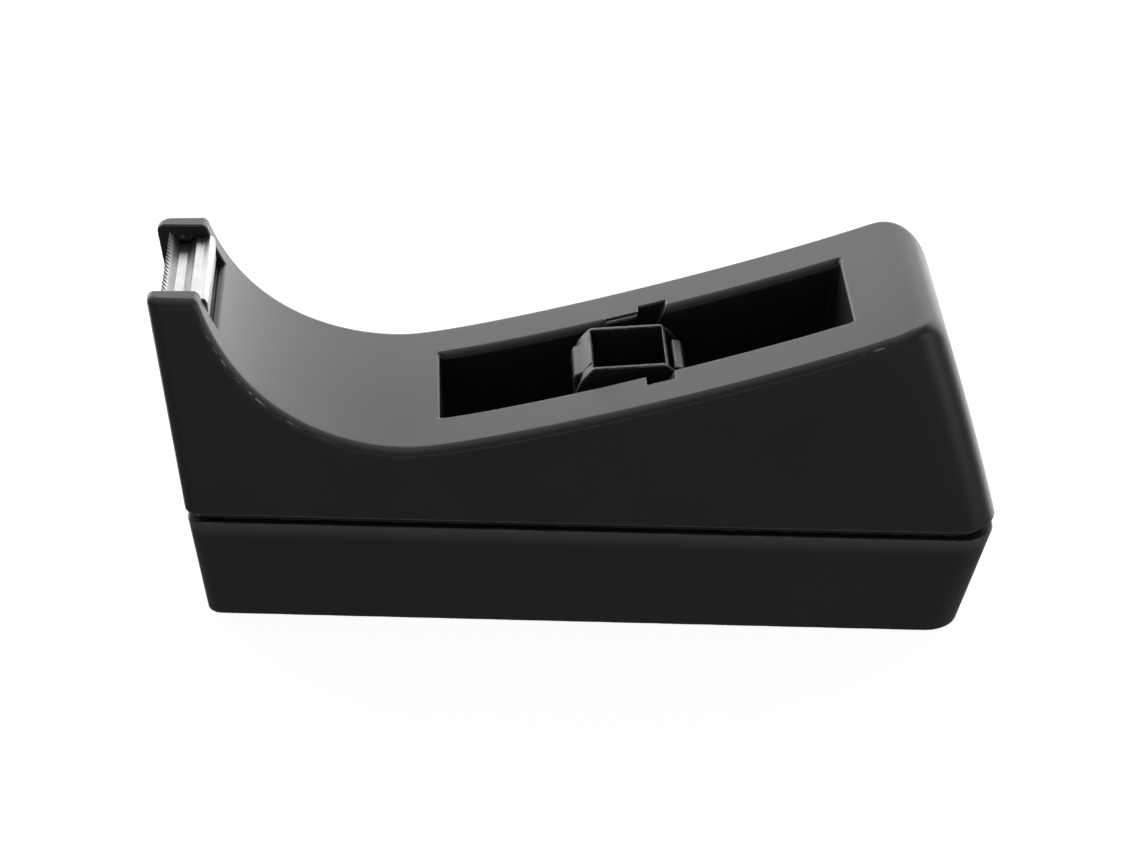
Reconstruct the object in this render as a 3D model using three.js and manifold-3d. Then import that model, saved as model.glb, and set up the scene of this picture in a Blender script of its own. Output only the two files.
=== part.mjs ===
// Weighted desktop tape dispenser for tape wound on a 25.4 mm core.
// Millimetres, +Z up, the rest surface at Z = 0, the cutter blade at -X and the tall end at +X.
import * as THREE from "three";
import { mergeVertices } from "three/addons/utils/BufferGeometryUtils.js";
import Module from "manifold-3d";

const wasm = await Module();
wasm.setup();

// ---------------------------------------------------------------- driving dimensions

const gap = 0.3; // clearance left between pieces that touch
const wall = 2.4; // housing and tray wall

// The two mouldings meet at a dark recessed line that runs all the way round.
const housingBottom = 27.6;
const trayTop = 25.6;
const trayBottom = 0.2;
const earTop = 75;

// Housing half-width at (x, z): it widens to the rear and narrows upwards.
const halfWidthAtCentre = 32.12;
const planTaper = 0.043;
const sideDraft = 0.13;

// Ends of the housing, as x at the seam and how they lean on the way up.
const frontAtSeam = -81.95;
const frontLean = 0.142;
const rearAtSeam = 88.4;
const rearLean = 0.289;
const rearBow = 0.000845;
const frontCornerRadius = 3;
const rearCornerRadius = 10;
const leastRadius = 0.8; // smallest corner left when an outline is inset
const housingRises = [0, 6, 12, 18, 24, 30, 36, 42, 50]; // heights above the seam that are lofted

// The tray tucks in towards the table.
const trayStep = 0.4; // set back from the housing at its top edge
const trayTuck = 0.135;
const trayRearTuck = 0.2;
const trayEdgeRadius = 0.4;
const trayFloorTop = 2.9;
const lipTop = 31; // the tray's inner lip reaches up inside the housing
const lipWall = 1.6;

// Top outline of the housing in the XZ plane: ear, finger scoop, rising back.
const earRear = new THREE.Vector2(-78.1, earTop);
const scoopBottom = new THREE.Vector2(-36.5, 43.4);
const backTop = new THREE.Vector2(70, 73.26);
const scoopHandles = [new THREE.Vector2(-69.62, 47.85), new THREE.Vector2(-46.8, 43.4)];
const backHandles = [new THREE.Vector2(-23.8, 43.4), new THREE.Vector2(37.3, 59.6)];
const earFrontRadius = 1.2;
const earRearRadius = 1;
const rearEdgeRadius = 7;
const rearEdgeRise = 39; // height above the seam at which the rear edge's rounding ends
const wayOut = 20; // how far a cutting shape reaches past the body
const wholeHalf = 45; // half-width of a shape that spans the whole body

// Roll well: straight sides, a round floor and a leaning rear wall.
const wellHalfWidth = 13.1;
const wellRadius = 41.3;
const wellCentre = new THREE.Vector2(12.5, 45.8);
const wellRearLean = 0.114;
const wellWall = 1.4;
const wellSegments = 40; // straight pieces along the round floor

// Hub and the slanted notches that hold its stub axles.
const hubAxis = new THREE.Vector2(11.65, 44.3);
const hubTilt = THREE.MathUtils.degToRad(4.3);
const flangeRadius = 12.45;
const flangeFlat = 9.9;
const flangeOuter = 8.8;
const flangeInner = 7.7;
const flangeSegments = 56;
const boxHalfLength = 8.35;
const boxWall = 0.7;
const fingerWall = 1.1;
const fingerReach = 12;
const fingerHalfWidth = 5.95;
const fingerKnee = new THREE.Vector2(9.65, 7.8);
const fingerRootDepth = 1.8;
const stubRadius = 1.85;
const stubEnd = 15.7;
const notchHalfWidth = 2.2;
const notchDepth = 3.4;
const notchSlant = THREE.MathUtils.degToRad(26);
const channelReach = 40; // how far the notch is drawn up from the hub's axis
const stepOuter = 14.3; // the shallow step in front of the notch reaches this far out
const stepLength = 5.5;
const stepDepth = 0.4;

// Cutter blade, pressed from sheet, between the ears.
const earInside = 14.2; // inner faces of the two ears
const bladeHalfWidth = 13.7;
const bladeSheet = 0.5;
const toothPitch = 1.49;
const toothDepth = 1;
const bladeTip = new THREE.Vector2(-85.9, 74.2);
const seatTop = 69.6;
const seatRear = -77.4;
const windowFront = -76.9;
const windowBottom = 65.7;
const windowEnd = -60; // well past the place where the window runs out into the scoop
const frontRecess = -84.6;
const frontRecessBottom = 52;

// Screws that hold the tray to the housing, driven in from below under the pad.
const screwPlaces = {
  screw_front_left: [-63, -13],
  screw_front_right: [-63, 13],
  screw_rear_left: [71, -18],
  screw_rear_right: [71, 18],
};
const bossRadius = 3.4;
const bossBottom = 14;
const pilotRadius = 1.55;
const pilotTop = 30;
const postRadius = 4.6;
const headBoreRadius = 3.3;
const headSeat = 8;
const screwHeadRadius = 2.9;
const screwShankRadius = 1.2;
const screwTip = 28;
const screwHeadHeight = 2.2;
const screwPoint = 3;

const padThickness = 1;
const padInset = 5;
const ballastTop = 23;

// ---------------------------------------------------------------- solids and outlines

function solid(geometry) {
  const bare = geometry.clone();
  bare.deleteAttribute("normal");
  bare.deleteAttribute("uv");
  const merged = mergeVertices(bare, 1e-4);
  const mesh = new wasm.Mesh({
    numProp: 3,
    vertProperties: new Float32Array(merged.attributes.position.array),
    triVerts: new Uint32Array(merged.index.array),
  });
  return new wasm.Manifold(mesh);
}

function joined(...solids) {
  return solids.reduce((sum, next) => sum.add(next));
}

function cut(body, ...tools) {
  return tools.reduce((left, tool) => left.subtract(tool), body);
}

function geometryOf(body) {
  const mesh = body.getMesh();
  const geometry = new THREE.BufferGeometry();
  const position = new THREE.BufferAttribute(new Float32Array(mesh.vertProperties), 3);
  geometry.setAttribute("position", position);
  geometry.setIndex(new THREE.BufferAttribute(new Uint32Array(mesh.triVerts), 1));
  return geometry;
}

// A shape drawn in (x, z), thick from y = low to y = high.
function acrossY(shape, low, high, curveSegments = 12) {
  const options = { depth: high - low, bevelEnabled: false, curveSegments };
  const geometry = new THREE.ExtrudeGeometry(shape, options);
  geometry.rotateX(Math.PI / 2);
  geometry.translate(0, high, 0);
  return solid(geometry);
}

// A shape drawn in (x, y), tall from z = low to z = high.
function upZ(shape, low, high, curveSegments = 12) {
  const options = { depth: high - low, bevelEnabled: false, curveSegments };
  const geometry = new THREE.ExtrudeGeometry(shape, options);
  geometry.translate(0, 0, low);
  return solid(geometry);
}

function box(x0, x1, y0, y1, z0, z1) {
  const geometry = new THREE.BoxGeometry(x1 - x0, y1 - y0, z1 - z0);
  geometry.translate((x0 + x1) / 2, (y0 + y1) / 2, (z0 + z1) / 2);
  return solid(geometry);
}

function roundBar(x, y, z0, z1, radius, sides = 24) {
  const geometry = new THREE.CylinderGeometry(radius, radius, z1 - z0, sides);
  geometry.rotateX(Math.PI / 2);
  geometry.translate(x, y, (z0 + z1) / 2);
  return solid(geometry);
}

function sorted(a, b) {
  return a < b ? [a, b] : [b, a];
}

function onBothSides(makeAtSide) {
  return joined(makeAtSide(-1), makeAtSide(1));
}

// Closed solid through a stack of outlines, all with the same number of points, lowest first.
function loft(levels) {
  const count = levels[0].points.length;
  const position = levels.flatMap(({ z, points }) => points.flatMap((p) => [p.x, p.y, z]));
  const index = [];
  for (let level = 0; level + 1 < levels.length; level += 1) {
    for (let i = 0; i < count; i += 1) {
      const a = level * count + i;
      const b = level * count + ((i + 1) % count);
      index.push(a, b, b + count, a, b + count, a + count);
    }
  }
  const last = (levels.length - 1) * count;
  for (const [a, b, c] of THREE.ShapeUtils.triangulateShape(levels[0].points, [])) {
    index.push(a, c, b, last + a, last + b, last + c);
  }
  const geometry = new THREE.BufferGeometry();
  geometry.setAttribute("position", new THREE.Float32BufferAttribute(position, 3));
  geometry.setIndex(index);
  return solid(geometry);
}

// Rounded trapezium in plan: ends at x = front and x = rear, halfWidth(x) each side.
function planOutline(front, rear, halfWidth, frontRadius, rearRadius) {
  const frontSteps = 4;
  const rearSteps = 10;
  const half = [];
  for (let i = 0; i <= frontSteps; i += 1) {
    const turn = (Math.PI / 2) * (i / frontSteps);
    const x = front + frontRadius * (1 - Math.cos(turn));
    half.push(new THREE.Vector2(x, halfWidth(x) - frontRadius * (1 - Math.sin(turn))));
  }
  for (let i = rearSteps; i >= 0; i -= 1) {
    const turn = (Math.PI / 2) * (i / rearSteps);
    const x = rear - rearRadius * (1 - Math.cos(turn));
    half.push(new THREE.Vector2(x, halfWidth(x) - rearRadius * (1 - Math.sin(turn))));
  }
  const mirrored = half.map((p) => new THREE.Vector2(p.x, -p.y));
  return [...mirrored, ...half.reverse()];
}

// The housing's rear face, which leans forward and bows, at a height above the seam.
function rearAt(rise) {
  return rearAtSeam - rearLean * rise - rearBow * rise * Math.max(rise, 0);
}

function housingOutline(z, inset) {
  const rise = z - housingBottom;
  const front = frontAtSeam - frontLean * rise + inset;
  const rear = rearAt(rise) - inset;
  const halfWidth = (x) => halfWidthAtCentre + planTaper * x - sideDraft * z - inset;
  const frontRadius = Math.max(frontCornerRadius - inset, leastRadius);
  const rearRadius = Math.max(rearCornerRadius - inset, leastRadius);
  return { z, points: planOutline(front, rear, halfWidth, frontRadius, rearRadius) };
}

function trayOutline(z, inset) {
  const drop = trayTop - z;
  const front = frontAtSeam + trayStep + trayTuck * drop + inset;
  const rear = rearAtSeam - trayStep - trayRearTuck * drop - inset;
  const sideInset = trayStep + trayTuck * drop + inset;
  const halfWidth = (x) => halfWidthAtCentre + planTaper * x - sideDraft * housingBottom - sideInset;
  const frontRadius = Math.max(frontCornerRadius - inset, leastRadius);
  const rearRadius = Math.max(rearCornerRadius - trayTuck * drop - inset, leastRadius);
  return { z, points: planOutline(front, rear, halfWidth, frontRadius, rearRadius) };
}

// ---------------------------------------------------------------- upper housing

// Points along the top of the housing, pushed down and inwards by inset.
function topLine(inset) {
  const curve = new THREE.CurvePath();
  curve.add(new THREE.CubicBezierCurve(earRear, scoopHandles[0], scoopHandles[1], scoopBottom));
  curve.add(new THREE.CubicBezierCurve(scoopBottom, backHandles[0], backHandles[1], backTop));
  const steps = 22;
  const points = [];
  for (const part of curve.curves) {
    for (let i = points.length ? 1 : 0; i <= steps; i += 1) {
      const at = part.getPoint(i / steps);
      const along = part.getTangent(i / steps);
      points.push(new THREE.Vector2(at.x + along.y * inset, at.y - along.x * inset));
    }
  }
  return points;
}

// Everything below the top of the housing, with its rounded ear and rounded rear edge.
function underTop() {
  const line = topLine(0);
  const intoScoop = scoopHandles[0].clone().sub(earRear).setLength(earRearRadius).add(earRear);
  const earFront = frontAtSeam - frontLean * (earTop - housingBottom);
  const bottom = -5;
  const shape = new THREE.Shape();
  shape.moveTo(earFront - wayOut, bottom);
  shape.lineTo(earFront - wayOut, earTop - earFrontRadius);
  shape.lineTo(earFront, earTop - earFrontRadius);
  shape.quadraticCurveTo(earFront, earTop, earFront + earFrontRadius, earTop);
  shape.lineTo(earRear.x - earRearRadius, earTop);
  shape.quadraticCurveTo(earRear.x, earRear.y, intoScoop.x, intoScoop.y);
  for (const p of line.slice(1, -3)) {
    shape.lineTo(p.x, p.y);
  }
  const edgeStart = line[line.length - 4];
  const edgeEnd = new THREE.Vector2(rearAt(rearEdgeRise), housingBottom + rearEdgeRise);
  shape.lineTo(edgeStart.x, edgeStart.y);
  shape.bezierCurveTo(
    edgeStart.x + rearEdgeRadius, edgeStart.y + rearEdgeRadius * 0.36,
    edgeEnd.x - rearEdgeRadius * 0.33, edgeEnd.y + rearEdgeRadius,
    edgeEnd.x, edgeEnd.y,
  );
  shape.lineTo(edgeEnd.x + wayOut, edgeEnd.y);
  shape.lineTo(edgeEnd.x + wayOut, bottom);
  return acrossY(shape, -wholeHalf, wholeHalf);
}

function housingShell() {
  const levels = housingRises.map((rise) => housingOutline(housingBottom + rise, 0));
  return loft(levels).intersect(underTop());
}

function housingHollow() {
  const line = topLine(wall);
  const bottom = housingBottom - 1;
  const shape = new THREE.Shape();
  shape.moveTo(frontAtSeam - wayOut, bottom);
  shape.lineTo(frontAtSeam - wayOut, seatTop - wall);
  shape.lineTo(seatRear, seatTop - wall);
  for (const p of line.filter((point) => point.y < windowBottom && point.x > seatRear)) {
    shape.lineTo(p.x, p.y);
  }
  shape.lineTo(rearAtSeam + wayOut, line[line.length - 1].y);
  shape.lineTo(rearAtSeam + wayOut, bottom);
  const levels = [-1, ...housingRises.slice(1)].map((rise) => housingOutline(housingBottom + rise, wall));
  return loft(levels).intersect(acrossY(shape, -wholeHalf, wholeHalf));
}

// The well's outline, grown by a wall's thickness: a round floor between two end walls.
function wellShape(grow) {
  const top = earTop + wayOut;
  const radius = wellRadius + grow;
  const lean = Math.atan(wellRearLean);
  const tangentX = wellCentre.x + radius * Math.cos(lean);
  const tangentZ = wellCentre.y - radius * Math.sin(lean);
  const shape = new THREE.Shape();
  shape.moveTo(wellCentre.x - radius, top);
  shape.lineTo(wellCentre.x - radius, wellCentre.y);
  shape.absarc(wellCentre.x, wellCentre.y, radius, Math.PI, 2 * Math.PI - lean, false);
  shape.lineTo(tangentX + (top - tangentZ) * wellRearLean, top);
  return shape;
}

// A point so far up the slanted notch from the hub's axis, and so far towards its rear.
function notchPoint(along, across) {
  const up = new THREE.Vector2(Math.sin(notchSlant), Math.cos(notchSlant));
  return new THREE.Vector2(
    hubAxis.x + up.x * along + up.y * across,
    hubAxis.y + up.y * along - up.x * across,
  );
}

// Slanted channel that guides a stub axle down to the hub's axis.
function notchShape(halfWidth) {
  const shape = new THREE.Shape();
  shape.absarc(hubAxis.x, hubAxis.y, halfWidth, -notchSlant - Math.PI, -notchSlant, false);
  const right = notchPoint(channelReach, halfWidth);
  const left = notchPoint(channelReach, -halfWidth);
  shape.lineTo(right.x, right.y);
  shape.lineTo(left.x, left.y);
  return shape;
}

function notches() {
  return onBothSides((side) => {
    const [low, high] = sorted(side * (wellHalfWidth - 1), side * (wellHalfWidth + notchDepth));
    return acrossY(notchShape(notchHalfWidth), low, high);
  });
}

// Shallow step in the housing's top, in front of the notch on the +Y side.
function notchStep() {
  const front = -notchHalfWidth - stepLength;
  const shape = new THREE.Shape([
    notchPoint(0, 0),
    notchPoint(channelReach, 0),
    notchPoint(channelReach, front),
    notchPoint(0, front),
  ]);
  return acrossY(shape, wellHalfWidth - 1, stepOuter);
}

// Thick pads behind the well's sides that the notches are cut into.
function notchPads() {
  const outer = wellHalfWidth + notchDepth + wellWall;
  const margin = 2;
  return onBothSides((side) => {
    const [low, high] = sorted(side * (wellHalfWidth + 0.2), side * outer);
    return acrossY(notchShape(notchHalfWidth + margin), low, high);
  });
}

// A thin tongue inside each ear with a small dome that snaps over the blade's channel.
function earSnaps() {
  const centreX = -83;
  const domeZ = 72.3;
  const domeRadius = 0.75;
  const tongueHalf = 1.95;
  const tongueZ = 73.15;
  const tongueRise = 0.3;
  const tongueTop = 74.2;
  const shape = new THREE.Shape();
  shape.absarc(centreX, tongueZ, tongueHalf, Math.PI, 2 * Math.PI, false);
  shape.lineTo(centreX + tongueHalf, tongueTop);
  shape.lineTo(centreX - tongueHalf, tongueTop);
  return onBothSides((side) => {
    const dome = new THREE.SphereGeometry(domeRadius, 16, 10);
    dome.translate(centreX, side * (earInside - 0.1), domeZ);
    const [low, high] = sorted(side * (earInside - tongueRise), side * (earInside + 0.5));
    return joined(solid(dome), acrossY(shape, low, high));
  });
}

function screwBosses() {
  const under = topLine(wall / 2);
  const nearest = (x) => (best, p) => (Math.abs(p.x - x) < Math.abs(best.x - x) ? p : best);
  const topAt = (x) => under.reduce(nearest(x)).y - 1;
  const bosses = Object.values(screwPlaces).map(([x, y]) => roundBar(x, y, bossBottom, topAt(x), bossRadius));
  return joined(...bosses);
}

function screwPilots() {
  return joined(...Object.values(screwPlaces).map(([x, y]) => roundBar(x, y, 0, pilotTop, pilotRadius, 16)));
}

function upperHousing() {
  const below = underTop();
  const shell = cut(housingShell(), housingHollow());
  const outerHalf = wellHalfWidth + wellWall;
  const trough = acrossY(wellShape(wellWall), -outerHalf, outerHalf, wellSegments).intersect(below);
  const withTrough = joined(shell, trough, notchPads().intersect(below), screwBosses().intersect(below));
  const well = acrossY(wellShape(0), -wellHalfWidth, wellHalfWidth, wellSegments);
  const step = cut(notchStep(), below.translate([0, 0, -stepDepth]));
  const above = earTop + wayOut;
  const ahead = frontRecess - wayOut;
  const overBlade = box(ahead, windowFront, -earInside, earInside, seatTop, above);
  const frontFace = box(ahead, frontRecess, -earInside, earInside, frontRecessBottom, above);
  const window = box(seatRear, windowEnd, -earInside, earInside, windowBottom, above);
  const open = cut(withTrough, well, notches(), step, overBlade, frontFace, window, screwPilots());
  return joined(open, earSnaps());
}

// ---------------------------------------------------------------- base tray

// The tray's outer body, with its bottom edge rounded.
function trayBody() {
  const steps = 4;
  const levels = [];
  for (let i = 0; i <= steps; i += 1) {
    const turn = (Math.PI / 2) * (i / steps);
    const inset = trayEdgeRadius * (1 - Math.sin(turn));
    levels.push(trayOutline(trayBottom + trayEdgeRadius * (1 - Math.cos(turn)), inset));
  }
  levels.push(trayOutline(trayTop, 0));
  return loft(levels);
}

function baseTray() {
  const lipOutset = wall + gap;
  const lip = loft([housingOutline(trayTop - 3, lipOutset), housingOutline(lipTop, lipOutset)]);
  const inside = lipOutset + lipWall;
  const hollow = loft([
    trayOutline(trayFloorTop, wall),
    trayOutline(trayTop - 6, wall),
    housingOutline(trayTop - 1, inside),
    housingOutline(lipTop + 5, inside),
  ]);
  const padRecess = loft([trayOutline(-1, padInset), trayOutline(padThickness + gap, padInset)]);
  const posts = Object.values(screwPlaces).map(([x, y]) => roundBar(x, y, 2, bossBottom - gap, postRadius));
  const headBores = Object.values(screwPlaces).map(([x, y]) => roundBar(x, y, -1, headSeat, headBoreRadius));
  const shankHoles = Object.values(screwPlaces).map(([x, y]) => roundBar(x, y, 0, 20, pilotRadius, 16));
  const shell = joined(trayBody(), lip);
  const withPosts = joined(cut(shell, hollow), ...posts);
  return cut(withPosts, padRecess, ...headBores, ...shankHoles);
}

// ---------------------------------------------------------------- ballast, pad and screws

function ballastBlock() {
  const block = loft([
    trayOutline(trayFloorTop + gap, wall + gap),
    trayOutline(trayTop - 6 - gap, wall + gap),
    housingOutline(ballastTop, wall + 2 * gap + lipWall + 1),
  ]);
  const troughHalf = wellHalfWidth + wellWall + gap;
  const trough = acrossY(wellShape(wellWall + gap), -troughHalf, troughHalf, wellSegments);
  const clearances = Object.values(screwPlaces).map(([x, y]) => roundBar(x, y, 0, 40, postRadius + gap));
  return cut(block, trough, ...clearances);
}

function nonSlipPad() {
  const inset = padInset + gap;
  return loft([trayOutline(0, inset), trayOutline(padThickness, inset)]);
}

function housingScrew(x, y) {
  const headTop = headSeat - gap;
  const headBottom = headTop - screwHeadHeight;
  const profile = [
    new THREE.Vector2(0, headBottom),
    new THREE.Vector2(screwHeadRadius - 0.5, headBottom),
    new THREE.Vector2(screwHeadRadius, headBottom + 0.8),
    new THREE.Vector2(screwHeadRadius, headTop),
    new THREE.Vector2(screwShankRadius, headTop),
    new THREE.Vector2(screwShankRadius, screwTip - screwPoint),
    new THREE.Vector2(0, screwTip),
  ];
  const geometry = new THREE.LatheGeometry(profile, 20);
  geometry.rotateX(Math.PI / 2);
  geometry.translate(x, y, 0);
  const armLength = 1.8;
  const armHalf = 0.4;
  const low = headBottom - 1;
  const high = headBottom + 1.2;
  const cross = joined(
    box(x - armLength, x + armLength, y - armHalf, y + armHalf, low, high),
    box(x - armHalf, x + armHalf, y - armLength, y + armLength, low, high),
  );
  return cut(solid(geometry), cross);
}

// ---------------------------------------------------------------- hub

// Bent spring finger, drawn about the hub's axis: it leaves the box's top front corner, turns
// over a shoulder, runs down the front and turns in again to its free end.
function fingerShape() {
  const shoulder = new THREE.Vector2(fingerReach - 0.7, 7.2);
  const bend = new THREE.Vector2(fingerReach, 6.8);
  const straight = 5.9;
  const innerReach = fingerReach - fingerWall;
  const innerBend = 6;
  const innerStraight = 5.2;
  const innerKnee = new THREE.Vector2(fingerKnee.x - 0.4, fingerKnee.y - fingerWall);
  const rootTop = Math.sqrt(flangeRadius ** 2 - boxHalfLength ** 2);
  const shape = new THREE.Shape();
  shape.moveTo(-boxHalfLength + boxWall, rootTop);
  shape.lineTo(-boxHalfLength, rootTop);
  shape.lineTo(-fingerKnee.x, fingerKnee.y);
  shape.lineTo(-shoulder.x, shoulder.y);
  shape.quadraticCurveTo(-bend.x, bend.y, -fingerReach, straight);
  shape.lineTo(-fingerReach, -straight);
  shape.quadraticCurveTo(-bend.x, -bend.y, -shoulder.x, -shoulder.y);
  shape.lineTo(-fingerKnee.x, -fingerKnee.y);
  shape.lineTo(-innerKnee.x, -innerKnee.y);
  shape.quadraticCurveTo(-innerReach, -innerBend, -innerReach, -innerStraight);
  shape.lineTo(-innerReach, innerStraight);
  shape.quadraticCurveTo(-innerReach, innerBend, -innerKnee.x, innerKnee.y);
  shape.lineTo(-boxHalfLength + boxWall, rootTop - fingerRootDepth);
  return shape;
}

// Two flats-cut flanges, a box open above and below between them, a finger at each end of the
// box and a stub axle on each side, all one moulding.
function tapeHub() {
  const clear = 20;
  const overlap = 0.1;
  const disc = new THREE.Shape().absarc(0, 0, flangeRadius, 0, 2 * Math.PI);
  const flats = box(-clear, clear, -clear, clear, -flangeFlat, flangeFlat);
  const between = box(-clear, clear, -flangeInner, flangeInner, -clear, clear);
  const flanges = cut(acrossY(disc, -flangeOuter, flangeOuter, flangeSegments).intersect(flats), between);
  const side = boxHalfLength;
  const half = flangeInner + overlap;
  const round = acrossY(disc, -half, half, flangeSegments);
  const boxWalls = box(-side, side, -half, half, -flangeFlat, flangeFlat).intersect(round);
  const inner = side - boxWall;
  const hollow = box(-inner, inner, -flangeInner, flangeInner, -clear, clear);
  const finger = acrossY(fingerShape(), -fingerHalfWidth, fingerHalfWidth);
  const root = acrossY(fingerShape(), -half, half).intersect(box(-fingerKnee.x, 0, -clear, clear, 0, clear));
  const front = joined(finger, root);
  const rear = front.rotate([0, 180, 0]);
  const stubs = onBothSides((y) => {
    const inside = flangeOuter - 0.5;
    const geometry = new THREE.CylinderGeometry(stubRadius, stubRadius, stubEnd - inside, 32);
    geometry.translate(0, (y * (stubEnd + inside)) / 2, 0);
    return solid(geometry);
  });
  return cut(joined(flanges, boxWalls, front, rear, stubs), hollow);
}

// ---------------------------------------------------------------- cutter blade

// Top face of the pressed sheet from the tooth tips back to the end of its rear leg.
function bladeLine() {
  return [
    bladeTip,
    new THREE.Vector2(-84.75, 72.9),
    new THREE.Vector2(-83.6, 70.9),
    new THREE.Vector2(-81.75, 70.9),
    new THREE.Vector2(-80.4, 72),
    new THREE.Vector2(-79.95, 72.45),
    new THREE.Vector2(-79.1, 72.15),
    new THREE.Vector2(-78.3, 72.3),
    new THREE.Vector2(-77.3, 72.9),
    new THREE.Vector2(-76.7, 72.6),
    new THREE.Vector2(-76.3, 71.8),
    new THREE.Vector2(-76.2, 67.4),
  ];
}

function cutterBlade() {
  const top = bladeLine();
  const under = top.map((p, i) => {
    const before = top[Math.max(i - 1, 0)];
    const after = top[Math.min(i + 1, top.length - 1)];
    const along = after.clone().sub(before).normalize();
    return new THREE.Vector2(p.x + along.y * bladeSheet, p.y - along.x * bladeSheet);
  });
  const sheet = acrossY(new THREE.Shape([...top, ...under.reverse()]), -bladeHalfWidth, bladeHalfWidth);
  const toothCount = Math.round((2 * bladeHalfWidth) / toothPitch);
  const pitch = (2 * bladeHalfWidth) / toothCount;
  const zigzag = new THREE.Shape();
  const beyond = bladeTip.x - 5;
  const root = bladeTip.x + toothDepth;
  zigzag.moveTo(beyond, -bladeHalfWidth - 1);
  zigzag.lineTo(root, -bladeHalfWidth - 1);
  for (let i = 0; i < toothCount; i += 1) {
    const y = -bladeHalfWidth + i * pitch;
    zigzag.lineTo(root, y);
    zigzag.lineTo(bladeTip.x - 0.05, y + pitch / 2);
  }
  zigzag.lineTo(root, bladeHalfWidth);
  zigzag.lineTo(root, bladeHalfWidth + 1);
  zigzag.lineTo(beyond, bladeHalfWidth + 1);
  return cut(sheet, upZ(zigzag, seatTop, earTop + 1));
}

// ---------------------------------------------------------------- assembly

const blackPlastic = new THREE.MeshStandardMaterial({ color: 0x1b1b1c, roughness: 0.45, metalness: 0 });
const hubPlastic = new THREE.MeshStandardMaterial({ color: 0x202021, roughness: 0.4, metalness: 0 });
const castFill = new THREE.MeshStandardMaterial({ color: 0x8c8880, roughness: 0.95, metalness: 0 });
const foamRubber = new THREE.MeshStandardMaterial({ color: 0x17171a, roughness: 0.95, metalness: 0 });
const bladeSteel = new THREE.MeshStandardMaterial({ color: 0xc9cbcc, roughness: 0.22, metalness: 1 });
const screwSteel = new THREE.MeshStandardMaterial({ color: 0x9a9c9e, roughness: 0.35, metalness: 1 });

const group = new THREE.Group();

function addPiece(name, body, material, parent = group) {
  const mesh = new THREE.Mesh(geometryOf(body), material);
  mesh.name = name;
  parent.add(mesh);
}

addPiece("upper_housing", upperHousing(), blackPlastic);
addPiece("base_tray", baseTray(), blackPlastic);
addPiece("ballast_block", ballastBlock(), castFill);
addPiece("non_slip_pad", nonSlipPad(), foamRubber);
addPiece("cutter_blade", cutterBlade(), bladeSteel);

const hubGroup = new THREE.Group();
hubGroup.position.set(hubAxis.x, 0, hubAxis.y);
hubGroup.rotation.y = -hubTilt;
group.add(hubGroup);
addPiece("tape_hub", tapeHub(), hubPlastic, hubGroup);

for (const [name, [x, y]] of Object.entries(screwPlaces)) {
  addPiece(name, housingScrew(x, y), screwSteel);
}

export default group;
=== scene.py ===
"""Weighted desktop tape dispenser: black moulded housing and tray, spinning hub, toothed blade."""

import itertools
import math

import bpy
import numpy as np
from mathutils import Matrix, Vector


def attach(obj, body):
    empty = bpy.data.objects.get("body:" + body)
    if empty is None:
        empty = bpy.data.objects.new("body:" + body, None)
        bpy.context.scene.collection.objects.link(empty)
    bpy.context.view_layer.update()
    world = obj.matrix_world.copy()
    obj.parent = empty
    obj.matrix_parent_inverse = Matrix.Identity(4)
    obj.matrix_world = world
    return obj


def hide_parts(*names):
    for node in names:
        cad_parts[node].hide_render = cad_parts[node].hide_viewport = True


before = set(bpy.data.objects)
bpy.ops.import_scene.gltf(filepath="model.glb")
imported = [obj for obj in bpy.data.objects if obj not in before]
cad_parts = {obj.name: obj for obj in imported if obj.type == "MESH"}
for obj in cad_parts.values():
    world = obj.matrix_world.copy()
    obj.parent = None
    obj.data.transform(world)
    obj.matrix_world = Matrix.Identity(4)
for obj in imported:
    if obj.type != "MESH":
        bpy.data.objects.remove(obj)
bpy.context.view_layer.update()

MM = 0.001

# ---------------------------------------------------------------- driving dimensions, in mm

WALL = 2.4
HOUSING_BOTTOM = 27.6
TRAY_TOP = 25.6
TRAY_BOTTOM = 0.2
EAR_TOP = 75.0

HALF_WIDTH = 32.12
PLAN_TAPER = 0.043
SIDE_DRAFT = 0.13
FRONT_AT_SEAM = -81.95
FRONT_LEAN = 0.142
REAR_AT_SEAM = 88.4
REAR_LEAN = 0.289
REAR_BOW = 0.000845
FRONT_CORNER = 3.0
REAR_CORNER = 10.0

TOP_CURVES = [
    [(-78.1, 75.0), (-69.62, 47.85), (-46.8, 43.4), (-36.5, 43.4)],
    [(-36.5, 43.4), (-23.8, 43.4), (37.3, 59.6), (70.0, 73.26)],
]
SIDE_EDGE = 1.7
REAR_EDGE = 9.0
REAR_EDGE_OUT = 1.3  # the rear edge is rounded as if the rear face stood this much further out
EAR_EDGE = 1.0
SEAM_EDGE = 0.45
HIGHLIGHT_REACH = 6.0
HIGHLIGHT_SHIFT = 20.0  # added to the height value that places the painted highlights, so that a piece without one reads as far below the top

TRAY_STEP = 0.4
TRAY_TUCK = 0.135
TRAY_REAR_TUCK = 0.2
TRAY_TOP_EDGE = 0.5
TRAY_BOTTOM_EDGE = 0.4
TRAY_FLOOR_TOP = 2.9
LIP_TOP = 31.0
LIP_WALL = 1.6
LIP_INSET = WALL + 0.3
LIP_BOTTOM = TRAY_TOP - 3

WELL_HALF = 13.1
WELL_RADIUS = 41.3
WELL_CENTRE = (12.5, 45.8)
WELL_LEAN = math.atan(0.114)
WELL_WALL = 1.4
WELL_CORNER = 0.8
WELL_LIP_SOFT = 1.7  # rounding of the well's lip on the +Y side
WELL_LIP = 0.5  # and everywhere else
WELL_LIP_AT_STEP = 0.45
ROUNDED_LIP_ABOVE = 30.0

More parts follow.
